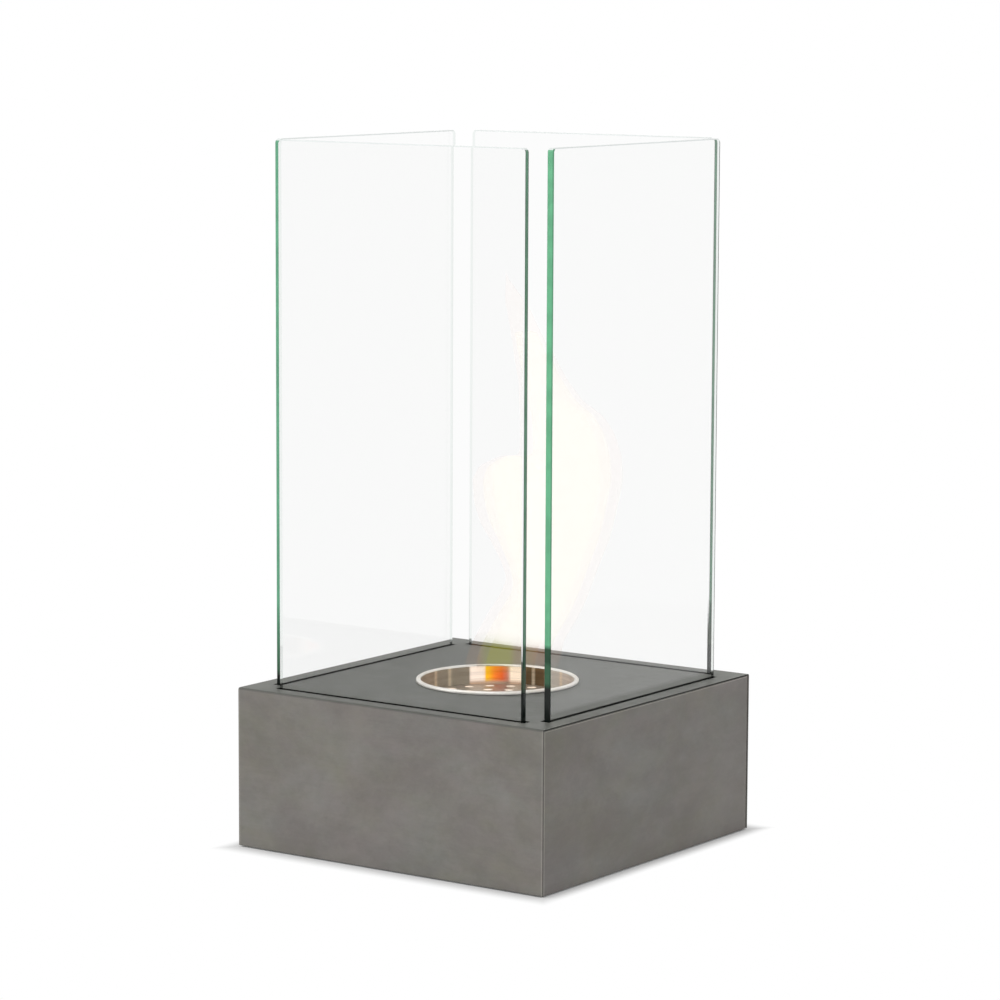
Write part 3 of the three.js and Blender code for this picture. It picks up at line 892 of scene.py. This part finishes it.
# ---------------------------------------------------------------- panes of glass
# Four panes of clear 5 mm float glass with rounded corners and ground edges stand loose in the slots.
# Through its edges the glass is green, and the edges are painted by height, dark to black towards the
# foot, as painted reflection and painted shade of what stands behind them. Light that only casts a shadow
# passes straight through.

PANE_CORNER = 0.003
ARRIS = 0.0007
CLEAR = (0.973, 0.975, 0.973, 1)
GLASS_SHINE = (0.15, 0.15, 0.15, 1)   # a quiet reflection, as in the photograph
EDGE_PALE = (0.86, 0.90, 0.885)
EDGE_CLEAR = (0.89, 0.92, 0.905, 1)   # what an edge lets through when it is met from within the glass
# darker at the foot of an edge seen from within: painted shade
EDGE_LOW = (0.24, 0.25, 0.24, 1)      # and at its foot
EDGE_FOOT = (0.0030, 0.0045)          # heights over the top plate between which the foot ends
CLEARING = (0.026, 0.058)             # and between which an edge clears beside the green
COLOURS_END = 0.06                    # and at which the colours below end
INK = (0.008, 0.012, 0.010)
BOTTLE = (0.022, 0.078, 0.040)
MOSS = (0.048, 0.150, 0.078)
# an edge's colour by its height over the top plate in metres, with the painted reflection and painted
# shade of the slot, steel and flame that it stands before
WIDE_GREEN = ((0.0, INK), (0.021, INK), (0.025, MOSS), (0.036, MOSS), (0.039, BOTTLE), (0.047, BOTTLE),
              (0.050, (0.175, 0.550, 0.305)))
NARROW_GREEN = ((0.0, INK), (0.018, INK), (0.022, (0.060, 0.090, 0.055)), (0.033, (0.060, 0.090, 0.055)),
                (0.036, BOTTLE), (0.048, BOTTLE), (0.052, (0.150, 0.300, 0.205)))
LEFT_GREEN = ((0.0, INK), (0.006, INK), (0.010, MOSS), (0.035, (0.090, 0.280, 0.160)),
              (0.058, (0.150, 0.440, 0.265)))
NARROW_HALF = 0.0016                  # half of the green's width: less where an end is seen more aslant
WIDE_HALF = 0.0025


def clear_surface(tree, place):
    """The polished surface of float glass, with the faintest smear."""
    smear = clouds(tree, place, 14.0, 7.0)
    return add_node(tree, "ShaderNodeBsdfPrincipled", {
        "Base Color": CLEAR, "Roughness": ease(tree, smear, 0.5, 1.0, 0.0, 0.004), "IOR": 1.5,
        "Metallic": 0.0, "Specular Tint": GLASS_SHINE, "Transmission Weight": 1.0,
    }).outputs[0]


def through_shadow(tree, surface, tint):
    """Lets shadow rays through a glass surface with a slight tint."""
    shadow = add_node(tree, "ShaderNodeLightPath").outputs["Is Shadow Ray"]
    open_way = add_node(tree, "ShaderNodeBsdfTransparent", {"Color": tint}).outputs[0]
    show(tree, mixed(tree, shadow, surface, open_way))


clear_glass, tree, place = new_material("clear_glass")
through_shadow(tree, clear_surface(tree, place), (0.98, 0.985, 0.983, 1))


def edge_glass(name, heights, thin=None, green_half=1.0):
    """A pane's ground edge: green from outside up to green_half from its middle, coloured by the given
    heights with painted reflection and painted shade, and open from inside, darker at its foot as painted
    shade.
    """
    material, tree, place = new_material(name)
    around = xyz(tree, place)
    ripple = noised(tree, place, 60.0)
    over = maths(tree, "SUBTRACT", around[2], shell_high.z)
    uneven = 0.02 if thin is None else 0.09
    # colour by height: painted reflection and painted shade of what stands behind
    shade = ramp(tree, over, 0.0, COLOURS_END, heights)
    shade = toned(tree, shade, ease(tree, ripple, 0.35, 0.65, 1 - uneven, 1 + uneven))
    if thin is not None:
        out = maths(tree, "ABSOLUTE", around[thin])
        off = maths(tree, "ABSOLUTE", maths(tree, "SUBTRACT", out, pane_middle))
        shade = toned(tree, shade, ease(tree, off, 0.6 * green_half, green_half, 1.08, 0.66))
        clear = both_masks(tree, above(tree, off, green_half), ease(tree, over, *CLEARING))
    surface = add_node(tree, "ShaderNodeBsdfPrincipled", {
        "Base Color": shade, "Roughness": ease(tree, ripple, 0.3, 0.7, 0.08, 0.2), "IOR": 1.5,
        "Specular IOR Level": 0.25,
    }).outputs[0]
    if thin is not None:
        surface = mixed(tree, clear, surface, clear_surface(tree, place))
    inside = add_node(tree, "ShaderNodeNewGeometry").outputs["Backfacing"]
    through = blended(tree, ease(tree, over, *EDGE_FOOT), EDGE_LOW, EDGE_CLEAR)
    passing = add_node(tree, "ShaderNodeBsdfTransparent", {"Color": through}).outputs[0]
    through_shadow(tree, mixed(tree, inside, surface, passing), (0.8, 0.9, 0.85, 1))
    return material


pane_middle = -(pane_low.y + pane_high.y) / 2
narrow_green = edge_glass("narrow_green", NARROW_GREEN, 1, NARROW_HALF)
end_glass = {
    "front": narrow_green, "right": edge_glass("wide_green", WIDE_GREEN, 0, WIDE_HALF),
    "back": narrow_green, "left": edge_glass("left_green", LEFT_GREEN, 0, WIDE_HALF),
}
rim_glass = edge_glass("rim_glass", ((0.0, EDGE_PALE), (0.05, EDGE_PALE)))
for turn, side in enumerate(SIDES):
    low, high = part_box("glass_" + side)
    pane = new_box("pane_" + side, low, high)
    thin = 1 if turn % 2 == 0 else 0
    wide = 1 - thin
    open_mesh(pane, "EDGE", lambda e: abs(e.verts[0].co[thin] - e.verts[1].co[thin]) > 0.001
              and abs(e.verts[0].co[wide] - e.verts[1].co[wide]) < NEAR
              and abs(e.verts[0].co.z - e.verts[1].co.z) < NEAR)
    bpy.ops.mesh.bevel(offset=PANE_CORNER, segments=BEND_STEPS, affect="EDGES")
    close_mesh()
    finish_with(pane, "BEVEL", width=ARRIS, segments=1, limit_method="ANGLE",
                angle_limit=math.radians(60))
    dress(pane, clear_glass, end_glass[side], rim_glass)
    for face in pane.data.polygons:
        if abs(face.normal[thin]) > 0.99:
            face.material_index = 0
        elif abs(face.normal.z) > 0.6:
            face.material_index = 2
        else:
            face.material_index = 1
    smooth(pane, 20)
    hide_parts("glass_" + side)
    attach(pane, "pane_" + side)


# ---------------------------------------------------------------- flame
# Burning alcohol gives a pale flame that the draught bends into a broad tongue with a smaller one beside
# it. It is no solid thing: three thin glowing skins, one in the other, that stand on the burner's cover
# and are but a hot haze at their foot. They are seen, yet they light nothing.

DRAUGHT = math.radians(35.2)          # the direction in which the draught spreads the flame
FLAME_DEPTH = 0.62                    # its depth as a share of its width
# height, left and right side of each tongue across the flame, in millimetres
BROAD_TONGUE = (
    (100, -10, 28), (112, -20, 38), (125, -20, 41), (138, -15, 44), (155, -6, 54), (169, 3, 60),
    (182, 8, 64.5), (193, 12, 68.5), (207, 14, 74), (219, 15, 77), (233, 16, 80), (248, 16, 83),
    (265, 16, 82), (280, 16, 77), (292, 16, 69), (302, 15, 55.5), (316, 14.5, 45), (329, 12, 38),
    (349, 9, 29), (370, 5, 19), (382, 5, 11), (391, 5, 6),
)
SMALL_TONGUE = (
    (169, 8, 40), (182, 7, 42), (193, 3, 42), (207, -4, 43), (219, -11, 44), (233, -15, 44),
    (248, -16, 42), (257, -12, 38), (264, 2, 26),
)
# name, share of the flame's width, highest level, opacity of one side, and colour of each skin
SKINS = (
    ("flame_outer", 1.00, 391, 0.20, (0.965, 0.895, 0.865)),
    ("flame_middle", 0.76, 349, 0.28, (1.0, 0.965, 0.875)),
    ("flame_inner", 0.54, 302, 0.34, (1.0, 0.995, 0.91)),
)
ROSE_HAZE = (0.50, 0.28, 0.15)
OLIVE_HAZE = (0.42, 0.41, 0.02)
SAND_HAZE = (0.44, 0.32, 0.16)
# the colour of the hot haze under the flame, from side to side in metres
HAZES = ((-0.020, ROSE_HAZE), (-0.012, ROSE_HAZE), (-0.006, OLIVE_HAZE), (0.010, OLIVE_HAZE),
         (0.014, SAND_HAZE), (0.022, SAND_HAZE), (0.028, ROSE_HAZE), (0.040, ROSE_HAZE))
HAZE_THIN = 0.30                      # how dense the haze is beside the flame
HAZE_FOOT = (0.116, 0.123)            # heights between which it begins
FLAME_FOOT = (0.1365, 0.1410)         # heights between which it gives way to the flame
FOOT_SLOPE = 0.15                     # how much that sinks in a metre to the right
FLAME_GLOW = 1.08
SKIN_CORNERS = 28
SKIN_VOXEL = 0.002


def tongue(name, levels, share):
    """A flame's tongue drawn up ring by ring, across the X axis, with its ends filled."""
    height, left, right = levels[0]
    middle, half = (left + right) / 2000, share * (right - left) / 2000
    calm()
    bpy.ops.mesh.primitive_circle_add(vertices=SKIN_CORNERS, radius=half,
                                      location=(middle, 0, height / 1000))
    bpy.context.object.scale.y = FLAME_DEPTH
    skin = settle(bpy.context.object, name)
    open_mesh(skin, "EDGE", lambda e: True)
    for to_height, left, right in levels[1:]:
        to_middle, to_half = (left + right) / 2000, share * (right - left) / 2000
        step = (to_middle - middle, 0, (to_height - height) / 1000)
        bpy.ops.mesh.extrude_edges_move(TRANSFORM_OT_translate={"value": step})
        scale = to_half / half
        bpy.ops.transform.resize(value=(scale, scale, 1),
                                 center_override=(to_middle, 0, to_height / 1000))
        height, middle, half = to_height, to_middle, to_half
    close_mesh()
    fill_and_turn_out(skin)
    return skin


for name, share, top, opacity, colour in SKINS:
    levels = [[level for level in levels if level[0] <= top] for levels in (BROAD_TONGUE, SMALL_TONGUE)]
    skin = tongue(name, levels[0], share)
    small = tongue(name + "_small", levels[1], share)
    pick(skin, small)
    bpy.ops.object.join()
    finish_with(skin, "REMESH", mode="VOXEL", voxel_size=SKIN_VOXEL)
    finish_with(skin, "SMOOTH", factor=0.5, iterations=10)
    skin.rotation_euler.z = DRAUGHT
    settle(skin, name)
    smooth(skin, 180)
    fire, tree, place = new_material(name)
    x, y, height = xyz(tree, place)
    across = maths(tree, "ADD", maths(tree, "MULTIPLY", x, math.cos(DRAUGHT)),
                   maths(tree, "MULTIPLY", y, math.sin(DRAUGHT)))
    waver = clouds(tree, place, 24.0, 2.2)
    haze = ramp(tree, across, HAZES[0][0], HAZES[-1][0], HAZES)
    risen = ease(tree, maths(tree, "MULTIPLY_ADD", across, FOOT_SLOPE, height), *FLAME_FOOT)
    tint = blended(tree, risen, haze, (*colour, 1))
    dense = maths(tree, "MULTIPLY", ease(tree, waver, 0.0, 1.0, 0.85, 1.15), opacity)
    dense = maths(tree, "MULTIPLY", dense, ease(tree, risen, 0.0, 1.0, HAZE_THIN, 1.0))
    dense = maths(tree, "MULTIPLY", dense, ease(tree, height, *HAZE_FOOT))
    surface = add_node(tree, "ShaderNodeBsdfPrincipled", {
        "Base Color": (0, 0, 0, 1), "Roughness": 1.0, "Specular IOR Level": 0.0, "Alpha": dense,
        "Emission Color": tint, "Emission Strength": FLAME_GLOW,
    }).outputs[0]
    path = add_node(tree, "ShaderNodeLightPath").outputs
    seen = maths(tree, "ADD", path["Is Camera Ray"], path["Is Transmission Ray"], clamp=True)
    air = add_node(tree, "ShaderNodeBsdfTransparent").outputs[0]
    show(tree, mixed(tree, seen, air, surface))
    dress(skin, fire)
    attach(skin, "burner")


# ---------------------------------------------------------------- finish
# The visual model's box is found.

calm()
low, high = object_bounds()
